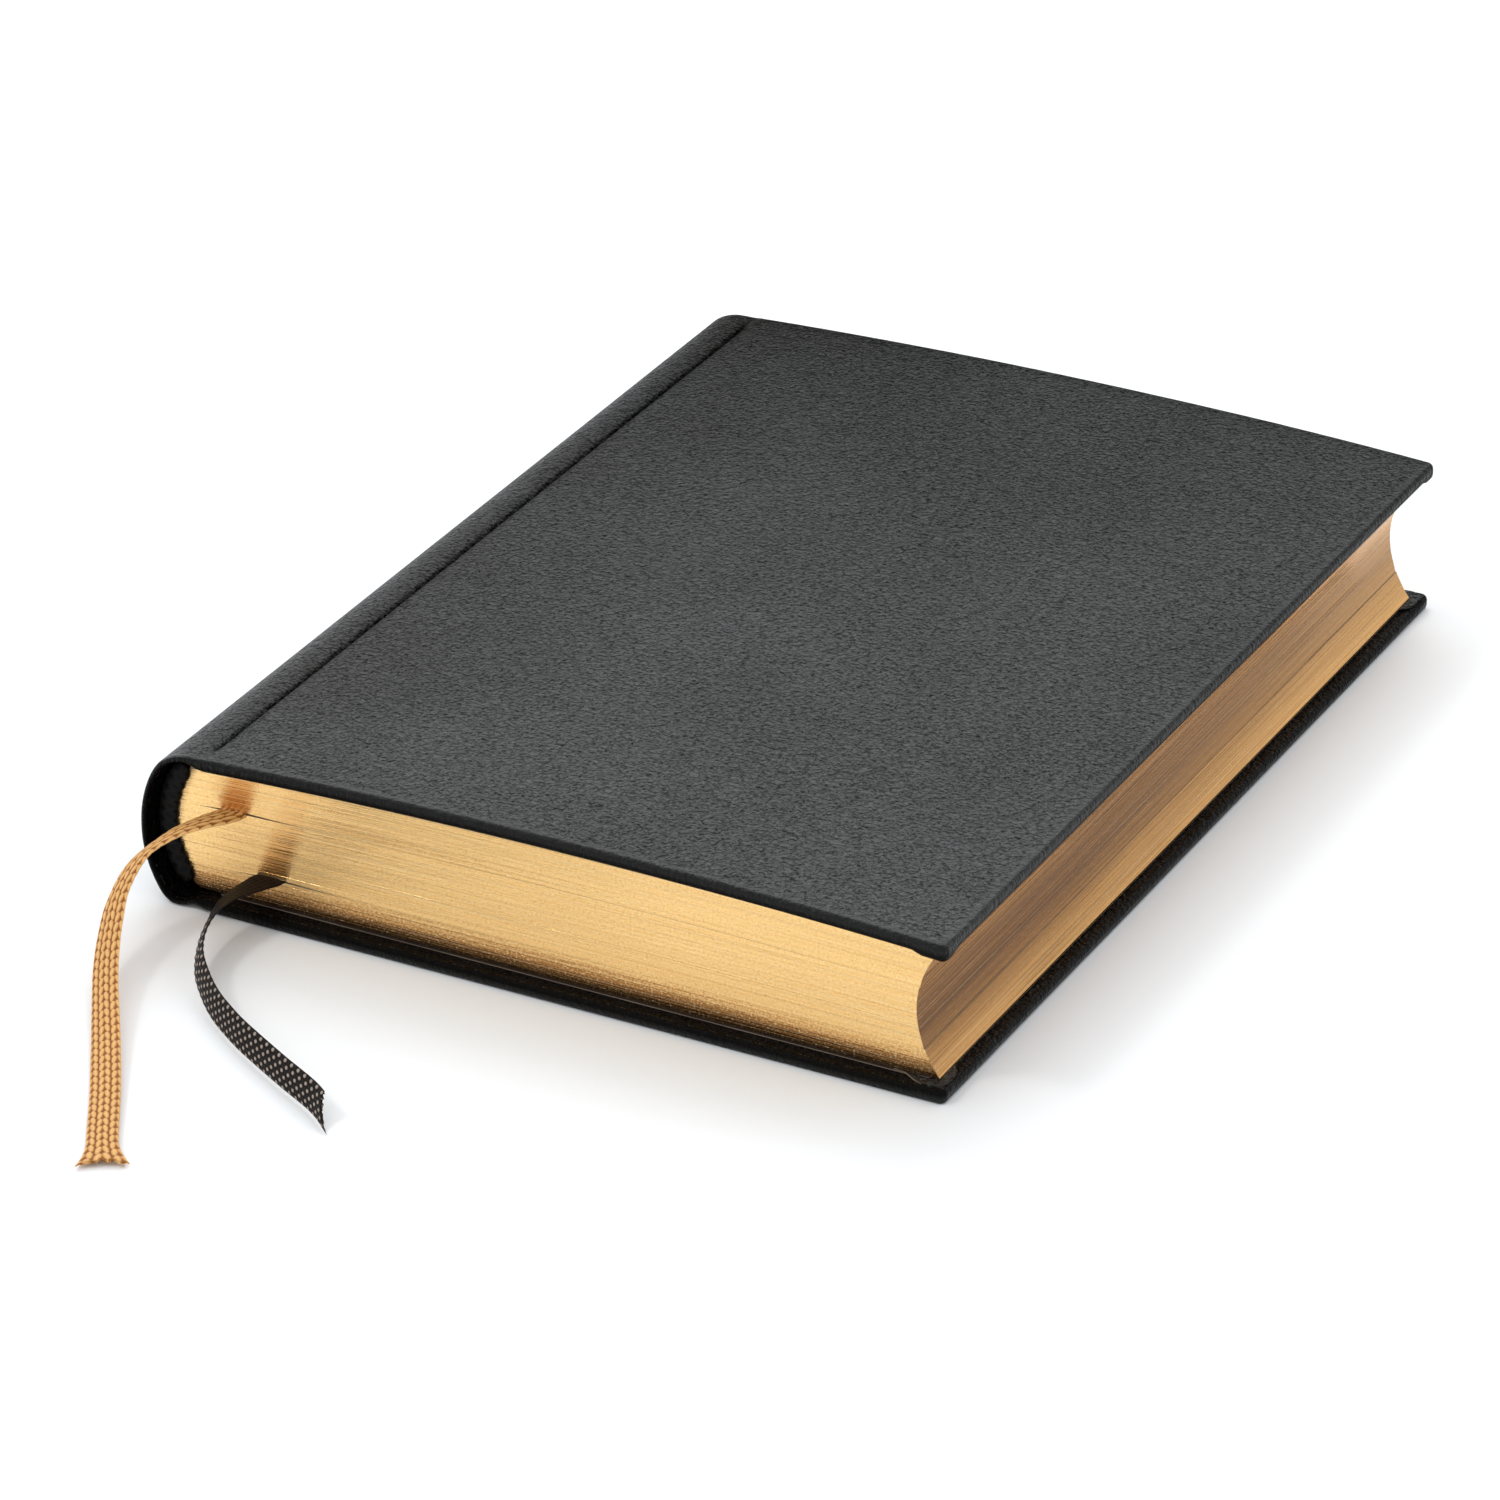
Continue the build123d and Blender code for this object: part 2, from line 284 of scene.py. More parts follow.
def warped_place(n):
    """Position nudged about by a coarse noise, which keeps the grain from looking regular."""
    warp = n.add("ShaderNodeTexNoise", {"Vector": n.place(), "Scale": 700.0, "Detail": 2.0})
    shift = n.add("ShaderNodeVectorMath", {0: warp.outputs["Color"], "Scale": MM}, operation="SCALE")
    return n.add("ShaderNodeVectorMath", {0: n.place(), 1: shift.outputs[0]}, operation="ADD").outputs[0]


def leather_relief(n, pebbles, wrinkles, creases, patch, rim, run):
    """Normal of the grain, which is flatter on the rims, where the leather is pulled into pleats."""
    pores = n.noise(3000, detail=3.0, roughness=0.6)
    pleats = n.maths("MULTIPLY", n.noise(2.1, run, detail=2.0), rim)
    flatter = n.fit(rim, 0.0, 1.0, 1.0, 0.35)
    depth = n.maths("MULTIPLY", n.fit(patch, 0.0, 1.0, 0.8, 1.0), flatter)
    normal = n.bump(pebbles, 0.00060, depth)
    normal = n.bump(wrinkles, 0.00150, depth, after=normal)
    normal = n.bump(creases, 0.00007, flatter, after=normal)
    normal = n.bump(pores, 0.00012, 0.8, after=normal)
    return n.bump(pleats, 0.00026, 0.8, after=normal)


def leather_shine(n, grain, shaded, spine_side, rim):
    """Specular level: broken up by the grain, weaker on rims, in creases, at the spine and far corner."""
    diagonal = n.axis(n.place(turn=math.radians(-27.5)), "Y")
    shine = n.fit(diagonal, -0.125, 0.125, 0.44, 0.02)
    shine = n.maths("MULTIPLY", shine, n.fit(shaded, 0.0, 1.0, 1.0, 0.3))
    glints = n.maths("MULTIPLY", n.fit(grain, 0.1, 0.9, -0.75, 0.55), n.fit(rim, 0.0, 0.7, 1.0, 0.0))
    glints = n.maths("ADD", glints, n.fit(rim, 0.5, 1.0, 0.0, -0.5))
    shine = n.maths("MULTIPLY", shine, n.maths("ADD", glints, 1.0))
    return n.maths("MULTIPLY", shine, n.fit(spine_side, 0.0, 0.6, 1.0, 0.78))


def leather_tone(n, grain, patch, shaded, spine_side, rim, run):
    """Base colour: nearly black, browner towards the spine, with painted shade on the crease, the inside
    faces and the rims, and light dots along the rims as painted highlights.
    """
    tone = n.ramp(grain, (0.1, (0.0026, 0.0026, 0.0023)), (0.9, (0.0108, 0.0114, 0.0106)))
    tone = n.mix(n.maths("MULTIPLY", spine_side, patch), tone, (0.012, 0.0085, 0.0065))
    # Painted shade: the crease, the inside faces and the rims are darkened towards black.
    painted_shade = n.maths("MAXIMUM", shaded, n.maths("MULTIPLY", rim, 0.75))
    tone = n.mix(painted_shade, tone, (0.0016, 0.0013, 0.0011))
    # Painted highlights: light dots along the very edge of the rims stand in for glints.
    at_edge = n.fit(n.maths("ABSOLUTE", n.maths("SUBTRACT", rim, 0.90)), 0.0, 0.09, 1.0, 0.0)
    dots = n.maths("MULTIPLY", n.fit(n.noise(2.4, run, detail=0.0), 0.52, 0.62, 0.0, 0.5), at_edge)
    return n.mix(dots, tone, (0.11, 0.11, 0.105))


def leather_material():
    """Near-black leather: pebbled grain with short creases, pleats pulled over the rims."""
    n = Nodes("cover_leather")
    bent = warped_place(n)
    pebbles = n.cells(980, bent, smooth=0.45)
    wrinkles = n.noise(1450, bent, detail=2.0, roughness=0.5)
    creases = n.maths("ABSOLUTE", n.maths("SUBTRACT", n.noise(760, bent, detail=3.0), 0.5))
    creases = n.fit(creases, 0.0, 0.07)
    grain = n.maths("MULTIPLY", n.maths("ADD", n.fit(wrinkles, 0.36, 0.64), creases), 0.5)
    patch = n.fit(n.noise(26, detail=2.0), 0.36, 0.64)
    rim = n.attribute("rim")
    run = n.add("ShaderNodeCombineXYZ", {"X": n.attribute("run"), "Y": rim}).outputs[0]
    shaded = n.maths("MAXIMUM", n.attribute("crease"), n.attribute("inside"))
    spine_side = n.fit(n.axis(n.place(), "X"), -0.072, -0.02, 0.6, 0.0)
    n.set(n.shader.inputs["Specular IOR Level"], leather_shine(n, grain, shaded, spine_side, rim))
    tone = leather_tone(n, grain, patch, shaded, spine_side, rim, run)
    normal = leather_relief(n, pebbles, wrinkles, creases, patch, rim, run)
    roughness = n.maths("SUBTRACT", n.fit(patch, 0.0, 1.0, 0.33, 0.38), n.maths("MULTIPLY", rim, 0.10))
    return n.finish(tone, roughness, normal)


def painted_reflection(n, where):
    """Warm strip painted above each ribbon, standing in for its reflection in the gilt."""
    painted = None
    for ribbon, exit_x in RIBBON_EXIT.items():
        exit_z = box_mm(ribbon)[1][2]
        above = n.maths("SUBTRACT", where.outputs["Z"], exit_z * MM)
        centre = n.maths("ADD", n.maths("MULTIPLY", above, REFLECTION_LEAN), (SPINE_X + exit_x) * MM)
        aside = n.maths("ABSOLUTE", n.maths("SUBTRACT", where.outputs["X"], centre))
        strip = n.maths("MULTIPLY", n.fit(aside, 0.0016, 0.0034, 0.7, 0.0), n.fit(above, 0.0, 0.001))
        strip = n.maths("MULTIPLY", strip, n.fit(above, 0.003, 0.011, 1.0, 0.25))
        painted = strip if painted is None else n.maths("MAXIMUM", painted, strip)
    at_tail = n.fit(where.outputs["Y"], -PAGE_HALF_H * MM + 0.002, -PAGE_HALF_H * MM + 0.001)
    return n.maths("MULTIPLY", painted, at_tail)


def shaded_fore_edge_colour(n, layer, lines, y):
    """Hollow fore edge in painted shade, for the side turned away from the light: darkest at mid depth,
    streaked along the pages, and paler towards the head as painted light.
    """
    depth = n.ramp(
        n.fit(layer, PAGES_BOTTOM, PAGES_TOP),
        (0.0, (0.52, 0.27, 0.085)), (0.16, (0.33, 0.155, 0.042)), (0.34, (0.14, 0.050, 0.008)),
        (0.48, (0.27, 0.112, 0.024)), (0.72, (0.66, 0.330, 0.105)), (1.0, (0.84, 0.450, 0.160)),
    )
    streaks = n.ramp(lines, (0.32, (0.52, 0.48, 0.44)), (0.5, (1.0, 1.0, 1.0)), (0.68, (1.5, 1.55, 1.65)))
    streaked = n.add("ShaderNodeMix", data_type="RGBA", blend_type="MULTIPLY")
    n.set(streaked.inputs["Factor"], 1.0)
    n.set(streaked.inputs["A"], depth)
    n.set(streaked.inputs["B"], streaks)
    # Painted light: the fore edge turns paler towards the head.
    paler = n.fit(y, -0.05, 0.10, 0.0, 0.30)
    return n.mix(paler, streaked.outputs["Result"], (0.85, 0.47, 0.16))


def darken_bottom(n, colour, layer, lines, flakes, fore):
    """Ragged brown to black strip along the lowest pages of the head and tail edges: painted reflection of
    the dark turn-ins and of the shaded table in front.
    """
    ragged = n.maths("ADD", n.fit(flakes, 0.3, 0.7, -1.1, 1.1), n.fit(lines, 0.3, 0.7, -1.5, 1.5))
    dusk = n.fit(n.maths("ADD", layer, ragged), 2.6, 7.4, 0.94, 0.0)
    dusk = n.maths("MULTIPLY", dusk, n.fit(fore, 0.0, 1.0, 1.0, 0.0))
    colour = n.mix(n.fit(dusk, 0.0, 0.55, 0.0, 0.9), colour, (0.52, 0.22, 0.055))
    return n.mix(n.fit(dusk, 0.35, 0.94, 0.0, 0.95), colour, (0.060, 0.024, 0.008))


def gilt_material():
    """Gold leaf burnished over page edges: bright, with fine page lines and grain; its sparkle, shade and
    reflections are partly painted into the colour.
    """
    n = Nodes("gilt_edge", Metallic=0.8)
    where = n.add("ShaderNodeSeparateXYZ", {"Vector": n.add("ShaderNodeTexCoord").outputs["Object"]})
    layer = n.attribute("layer")
    line_place = n.add(
        "ShaderNodeCombineXYZ",
        {"X": n.maths("MULTIPLY", where.outputs["X"], 22.0),
         "Y": n.maths("MULTIPLY", where.outputs["Y"], 22.0),
         "Z": n.maths("MULTIPLY", layer, 8.0)},
    ).outputs[0]
    lines = n.noise(1.0, line_place, detail=5.0, roughness=0.65)
    dark_lines = n.fit(n.noise(0.42, line_place, detail=2.0), 0.60, 0.70, 0.0, 0.22)
    grain = n.noise(2100, detail=3.0, roughness=0.7)
    flakes = n.noise(2300, detail=3.0, roughness=0.7)
    facing = n.add("ShaderNodeNewGeometry").outputs["Normal"]
    fore = n.fit(n.axis(facing, "X"), 0.35, 0.8)
    gold = n.ramp(lines, (0.3, (0.93, 0.56, 0.205)), (0.5, (1.0, 0.635, 0.25)), (0.72, (1.0, 0.73, 0.335)))
    # Painted shade: faces turned to the fore side take the darker fore-edge colour instead of the gold.
    colour = n.mix(fore, gold, shaded_fore_edge_colour(n, layer, lines, where.outputs["Y"]))
    colour = darken_bottom(n, colour, layer, lines, flakes, fore)
    colour = n.mix(dark_lines, colour, (0.22, 0.12, 0.05))
    # Painted highlights: pale flakes in the colour stand in for the gold leaf's glints, fewer on the fore
    # edge.
    bright = n.maths("MULTIPLY", n.fit(flakes, 0.53, 0.70, 0.0, 0.65), n.fit(fore, 0.0, 1.0, 1.0, 0.2))
    colour = n.mix(bright, colour, (1.0, 0.86, 0.54))
    colour = n.mix(n.fit(flakes, 0.47, 0.30, 0.0, 0.55), colour, (0.50, 0.28, 0.09))
    # Painted reflection: the gilt turns dark brown near the pages' back, where it mirrors the black head
    # and tail bands.
    inward = n.maths("ADD", n.attribute("inward"), n.fit(lines, 0.3, 0.7, -0.9, 0.9))
    painted_band_reflection = n.fit(inward, 0.2, 1.9, 1.0, 0.0)
    colour = n.mix(painted_band_reflection, colour, (0.10, 0.045, 0.015))
    colour = n.mix(painted_reflection(n, where), colour, (0.72, 0.28, 0.05))
    normal = n.bump(lines, 0.00002, 0.25)
    normal = n.bump(grain, 0.00005, 0.50, after=normal)
    normal = n.bump(flakes, 0.00004, 0.75, after=normal)
    return n.finish(colour, n.fit(grain, 0.3, 0.7, 0.10, 0.22), normal)


def paper_material(name, colour, tint):
    """Thin paper with soft mottling and faint fibres."""
    n = Nodes(name)
    mottled = n.mix(n.fit(n.noise(90, detail=5.0), 0.35, 0.65), colour, tint)
    fibres = n.noise(2600, n.place(scale=(1.0, 0.25, 1.0)), detail=2.0)
    return n.finish(mottled, 0.85, n.bump(fibres, 0.00003, 0.4))


def card_material():
    """Grey-brown board with chopped fibres."""
    n = Nodes("board_card")
    flecks = n.noise(1500, detail=5.0, roughness=0.75)
    colour = n.ramp(flecks, (0.35, (0.20, 0.16, 0.12)), (0.65, (0.42, 0.36, 0.28)))
    return n.finish(colour, 0.9, n.bump(flecks, 0.0001, 0.6))


def woven_material(name, dark, light, threads_per_m):
    """Plain weave for the mull, the threads and other cloth hidden in the spine."""
    n = Nodes(name)
    place = n.place()
    warp = n.add("ShaderNodeTexWave", {"Vector": place, "Scale": threads_per_m}, bands_direction="Y")
    weft = n.add("ShaderNodeTexWave", {"Vector": place, "Scale": threads_per_m}, bands_direction="Z")
    weave = n.maths("MAXIMUM", warp.outputs["Fac"], weft.outputs["Fac"])
    fuzz = n.noise(3000, detail=3.0)
    weave = n.maths("MULTIPLY", weave, n.fit(fuzz, 0.2, 0.8, 0.7, 1.0))
    return n.finish(n.ramp(weave, (0.3, dark), (0.9, light)), 0.9, n.bump(weave, 0.0001, 0.8))


def ribbon_material(name, gap, thread, fleck, shine=0.35):
    """Knitted ribbon: the mesh holds the stitches, the colour follows their height."""
    n = Nodes(name)
    n.shader.inputs["Specular IOR Level"].default_value = shine
    height = n.attribute("stitch")
    strands = n.noise(5200, detail=3.0, roughness=0.6)
    # Darker in the gaps, lighter on the crests: on the gold knit and the braid this is painted shade and
    # painted highlight over one yarn colour; the brown ribbon's pale flecks are its own pattern.
    colour = n.ramp(height, (0.15, gap), (0.55, thread), (0.98, fleck))
    colour = n.mix(n.fit(strands, 0.3, 0.75, 0.35, 0.0), colour, gap)
    return n.finish(colour, n.fit(strands, 0.3, 0.7, 0.45, 0.7), n.bump(strands, 0.00006, 0.7))


LEATHER = leather_material()
GILT = gilt_material()
PAPER = paper_material("page_paper", (0.80, 0.76, 0.66), (0.86, 0.83, 0.75))
# Cut edges of the pastedowns and mitres: dark brown as painted shade for edges that sit under the boards.
SHADED_EDGE = paper_material("shaded_cut_edge", (0.16, 0.11, 0.075), (0.25, 0.18, 0.13))
LINING = paper_material("lining_paper", (0.30, 0.22, 0.14), (0.38, 0.29, 0.19))
ENDPAPER = paper_material("dark_endpaper", (0.008, 0.0045, 0.003), (0.014, 0.008, 0.0055))
CARD = card_material()
MULL = woven_material("mull_cloth", (0.35, 0.32, 0.26), (0.78, 0.74, 0.66), 900)
THREAD = woven_material("linen_thread", (0.5, 0.46, 0.38), (0.85, 0.82, 0.74), 2400)
# Black braid, darkened further than black cloth as painted shade for the hollow at the spine's ends.
BAND = ribbon_material(
    "band_braid", (0.0006, 0.0006, 0.0006), (0.0015, 0.0013, 0.0012), (0.006, 0.005, 0.0045), 0.12,
)
GOLD_KNIT = ribbon_material("gold_knit", (0.25, 0.08, 0.010), (0.56, 0.26, 0.058), (0.88, 0.51, 0.185))
BROWN_KNIT = ribbon_material(
    "brown_knit", (0.006, 0.004, 0.003), (0.018, 0.011, 0.008), (0.42, 0.35, 0.30), 0.12,
)


# ---- cover leather ---------------------------------------------------------------------------
SPINE_WALL = 1.1          # leather over the spine card
GROOVE_X = JOINT_X - 0.9
SKIN_SPINE = 150          # columns round the spine
BOARD_STEP = 0.9
EDGE_ROUND = 0.75         # how far in from a rim the leather turns over
CORNER = 1.3              # plan radius of the fore-edge corners
RIM_STEPS = [2.6, 1.9, 1.35, 0.95, 0.65, 0.42, 0.24, 0.1, 0.0]   # distances from a rim
# Outside of the leather from mid spine up to the front cover and down to the back cover: x and z.
UPPER_SPINE = [
    (0.0, 14.0), (0.15, 16.6), (0.75, 19.8), (1.8, 22.9), (3.2, 25.5), (4.7, 27.05), (6.5, 28.05),
    (8.4, 28.6), (10.2, 28.8), (12.0, 28.85), (14.0, 29.03),
]
LOWER_SPINE = [
    (0.0, 14.0), (0.1, 11.4), (0.5, 8.9), (1.2, 6.4), (2.15, 4.1), (3.3, 2.0), (4.5, 0.7),
    (6.0, 0.08), (8.0, 0.25), (10.0, 0.8), (12.0, 0.35), (14.0, 0.0),
]


def skin_lines(spine_points, board_outer, board_inner, inward):
    """Outer and inner line of the case leather, from mid spine round to the fore edge."""
    outer = smooth_curve(spine_points, SKIN_SPINE)
    along = np.gradient(outer, axis=0)
    along /= np.linalg.norm(along, axis=1)[:, None]
    normal = np.stack([along[:, 1], -along[:, 0]], 1) * inward
    inner = outer + normal * SPINE_WALL
    x_start = outer[-1, 0]
    stop = WIDTH - RIM_STEPS[0]
    count = int((stop - x_start) / BOARD_STEP)
    x_board = np.concatenate(
        [np.linspace(x_start, stop, count, endpoint=False)[1:], WIDTH - np.array(RIM_STEPS)]
    )
    to_board = smoothstep((outer[:, 0] - (JOINT_X - 5.2)) / 5.0) * (np.arange(SKIN_SPINE) > SKIN_SPINE // 2)
    inner[:, 0] += (outer[:, 0] - inner[:, 0]) * to_board
    inner[:, 1] += (board_inner(inner[:, 0]) - inner[:, 1]) * to_board
    outer = np.vstack([outer, np.stack([x_board, board_outer(x_board)], 1)])
    inner = np.vstack([inner, np.stack([x_board, board_inner(x_board)], 1)])
    return outer, inner


def skin_rows():
    """y of the leather's rows, closer together where the edges turn."""
    close = HALF_H - np.array(RIM_STEPS)
    middle = np.linspace(-close[0], close[0], 216)[1:-1]
    return np.concatenate([-close[::-1], middle, close])


def round_corner(x, y):
    """Moves the square corners of the fore edge onto a quarter circle."""
    a = np.clip(x - (WIDTH - CORNER), 0, None)
    b = np.clip(np.abs(y) - (HALF_H - CORNER), 0, None)
    reach = np.hypot(a, b)
    both = (a > 0) & (b > 0)
    scale = np.where(both, np.maximum(a, b) / np.maximum(reach, 1e-9), 1.0)
    x = np.where(both, WIDTH - CORNER + a * scale, x)
    y = np.where(both, np.sign(y) * (HALF_H - CORNER + b * scale), y)
    return x, y


def case_leather(name, outer, inner, outward, shape_outer, shape_inner):
    """Closed skin swept from tail to head, with rounded rims, corners and a grained surface."""
    rows = skin_rows()
    columns = len(outer)
    x_out, y = np.meshgrid(outer[:, 0], rows)
    z_out = np.meshgrid(outer[:, 1], rows)[0]
    x_in = np.meshgrid(inner[:, 0], rows)[0]
    z_in = np.meshgrid(inner[:, 1], rows)[0]
    z_out = z_out + shape_outer(x_out, y) * outward
    z_in = z_in + shape_inner(x_in, y) * -outward
    depth = np.minimum(WIDTH - x_out, HALF_H - np.abs(y))
    depth = np.clip(depth / EDGE_ROUND, 0, 1)
    keep = 0.3 + 0.7 * np.sqrt(1 - (1 - depth) ** 2)
    middle = np.stack([(x_out + x_in) / 2, y, (z_out + z_in) / 2], -1)
    layers = []
    for x, z in ((x_out, z_out), (x_in, z_in)):
        points = middle + (np.stack([x, y, z], -1) - middle) * keep[..., None]
        points[..., 0], points[..., 1] = round_corner(points[..., 0], points[..., 1])
        layers.append(points.reshape(-1, 3))
    skin = layers[0]
    grain = soft_noise(skin * (1.0, 1.7, 1.0), 3.4, 1) + 0.6 * soft_noise(skin * (1.0, 1.9, 1.0), 1.7, 2)
    swell = soft_noise(skin, 34.0, 3)
    fade = np.repeat(1.0, len(skin))
    fade[(np.arange(len(skin)) % columns) < 2] = 0.0
    away = skin - layers[1]
    away /= np.linalg.norm(away, axis=1)[:, None]
    on_board = smoothstep((skin[:, 0] - JOINT_X) / 8.0)
    depth_mm = (0.018 * grain + 0.06 * swell) * fade * (0.35 + 0.65 * on_board)
    layers[0] = skin + away * depth_mm[:, None]
    layers[0][:, 2] = np.maximum(layers[0][:, 2], 0.0)
    faces, _, _ = shell_faces(len(rows), columns)
    from_fore = WIDTH - x_out
    from_end = HALF_H - np.abs(y)
    rim = 1 - smoothstep((np.minimum(from_fore, from_end) - 0.5) / 1.6)
    run = np.where(from_fore < from_end, y, x_out)
    # crease and inside mark where the leather's colour takes painted shade and its specular level drops;
    # rim also sets painted shade, painted glint dots, roughness and relief.
    crease = bell((x_out - GROOVE_X) / 0.45) * (outward > 0) * smoothstep((from_end - 2.0) / 5.0)
    fields = {"rim": rim, "run": run, "crease": 0.85 * crease}
    attributes = {key: np.tile(value.ravel(), 2) for key, value in fields.items()}
    attributes["inside"] = np.repeat([0.0, 1.0], len(skin))
    return add_mesh(name, np.vstack(layers), faces, [LEATHER], attributes=attributes, sharp_deg=60)


def front_groove(x, y):
    """Pressed line of the front joint, fading out where the leather turns in at head and tail."""
    fade = smoothstep((HALF_H - 2.0 - np.abs(y)) / 6.0)
    crease = 0.75 * bell((x - GROOVE_X) / 0.34)
    valley = 0.30 * bell((x - GROOVE_X - 0.2) / 1.4)
    return -(crease + valley) * fade


def rim_bead(x, y):
    """Slight ridge where the board's edge shows through along the outside of a cover."""
    depth = np.minimum(WIDTH - x, HALF_H - np.abs(y))
    on_board = smoothstep((x - JOINT_X) / 2.0)
    return (0.05 * bell((depth - 0.9) / 0.4) - 0.05 * bell((depth - 2.4) / 0.9)) * on_board


def corner_fold(x, y):
    """Lump of folded leather inside each fore-edge corner."""
    near_x = smoothstep((x - (WIDTH - 6.5)) / 2.0)
    near_y = smoothstep((np.abs(y) - (HALF_H - 5.0)) / 2.0)
    return 0.62 * near_x * near_y


def front_outside(x):
    return crowned(x, FRONT_BOTTOM) + COVER


def front_inside(x):
    return crowned(x, FRONT_BOTTOM)


def back_outside(x):
    return np.zeros_like(x)


def back_inside(x):
    return np.full_like(x, COVER)


def front_relief(x, y):
    return front_groove(x, y) + rim_bead(x, y)


def back_relief(x, y):
    """Only the bead's hollow, at half depth, because the back cover rests on the table."""
    return 0.5 * np.minimum(rim_bead(x, y), 0)


def back_corner_fold(x, y):
    return 0.5 * corner_fold(x, y)


def build_front_leather():
    outer, inner = skin_lines(UPPER_SPINE, front_outside, front_inside, 1)
    front = case_leather("leather_front", outer, inner, 1, front_relief, corner_fold)
    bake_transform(front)
    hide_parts("front_cover_leather", "spine_leather")


def build_back_leather():
    outer, inner = skin_lines(LOWER_SPINE, back_outside, back_inside, -1)
    back = case_leather("leather_back", outer, inner, -1, back_relief, back_corner_fold)
    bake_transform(back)
    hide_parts("back_cover_leather")


# ---- endpapers -------------------------------------------------------------------------------
def sheet_points(x, y, level, thickness):
    """Top and bottom grids of a thin sheet that follows the pages' swelling."""
    grid_x, grid_y = np.meshgrid(x, y)
    layers = []
    for height in (level + thickness, level):
        layers.append(np.stack([grid_x, grid_y, crowned(grid_x, height)], -1).reshape(-1, 3))
    return np.vstack(layers)


def build_mitre(name, body, level, lift, end):
    """Folded corner of the leather turn-in, its cut edge running out to the board's corner."""
    steps = 18
    across = 10
    share = np.linspace(0, 1, steps)[:, None]
    cut = smooth_curve([(-10.6, 3.2), (-8.4, 3.0), (-6.6, 1.9), (-4.4, 0.7)], steps)
    far = smooth_curve([(-2.9, 9.0), (-1.1, 7.0), (-0.8, 3.0), (-1.2, 1.1)], steps)
    points = []
    for thickness in (0.32, 0.0):
        for j in range(across):
            part = j / (across - 1)
            plan = cut + (far - cut) * part
            bulge = 0.5 * np.sin(math.pi * part) * share[:, 0] ** 2
            z = level + lift * (thickness * (1 + bulge) + 0.02)
            points.append(np.stack([WIDTH + plan[:, 0], end * (HALF_H - plan[:, 1]), z], 1))
    faces, grid_count, wall_count = shell_faces(across, steps)
    slots = [0] * (2 * grid_count) + [1] * (steps - 1) + [0] * (wall_count - steps + 1)
    piece = add_mesh(name, np.vstack(points), faces, [LEATHER, SHADED_EDGE], face_slots=slots)
    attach(piece, body)


def build_pastedown(name, body, level, lifted):
    """Dark endpaper glued over the turn-ins; one corner of the back one has come away a little."""
    inset = 3.0
    thickness = 0.18
    x = np.linspace(JOINT_X + 0.4, WIDTH - inset, 70)
    y = np.linspace(-HALF_H + inset, HALF_H - inset, 90)
    points = sheet_points(x, y, level, thickness)
    if lifted:
        corner = np.array([WIDTH - inset, -HALF_H + inset])
        gap = np.linalg.norm(points[:, :2] - corner, axis=1)
        pull = smoothstep((6.0 - gap) / 6.0)
        points[:, 0] -= 1.2 * pull
        points[:, 2] += 0.30 * pull
    faces, grid_count, wall_count = shell_faces(len(y), len(x))
    slots = [0] * (2 * grid_count) + [1] * wall_count
    piece = add_mesh(name, points, faces, [ENDPAPER, SHADED_EDGE], face_slots=slots)
    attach(piece, body)
    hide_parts(name.replace("endpaper", "pastedown"))


# ---- pages -----------------------------------------------------------------------------------
RIDGE = 0.135             # one visible ridge of gilt page edges
RIDGE_DEPTH = 0.006


def ribbon_opening(x, ribbon):
    """How far the pages part beside a ribbon: open at the ribbon, closing away from it."""
    if ribbon is None:
        return 0.0 * x
    away = x - RIBBON_EXIT[ribbon]
    return RIBBON_GAP * np.where(away < 0, bell(away / 4.0), bell(away / 9.0))


def edge_wander(count, rows, knots, amount):
    """Small in-and-out offsets of page edges, one row of smooth values per ridge."""
    values = rng.normal(0, amount, (rows, knots))
    values += rng.normal(0, amount * 0.8, (rows, 1))
    places = np.linspace(0, knots - 1, count)
    return np.stack([np.interp(places, np.arange(knots), row) for row in values])


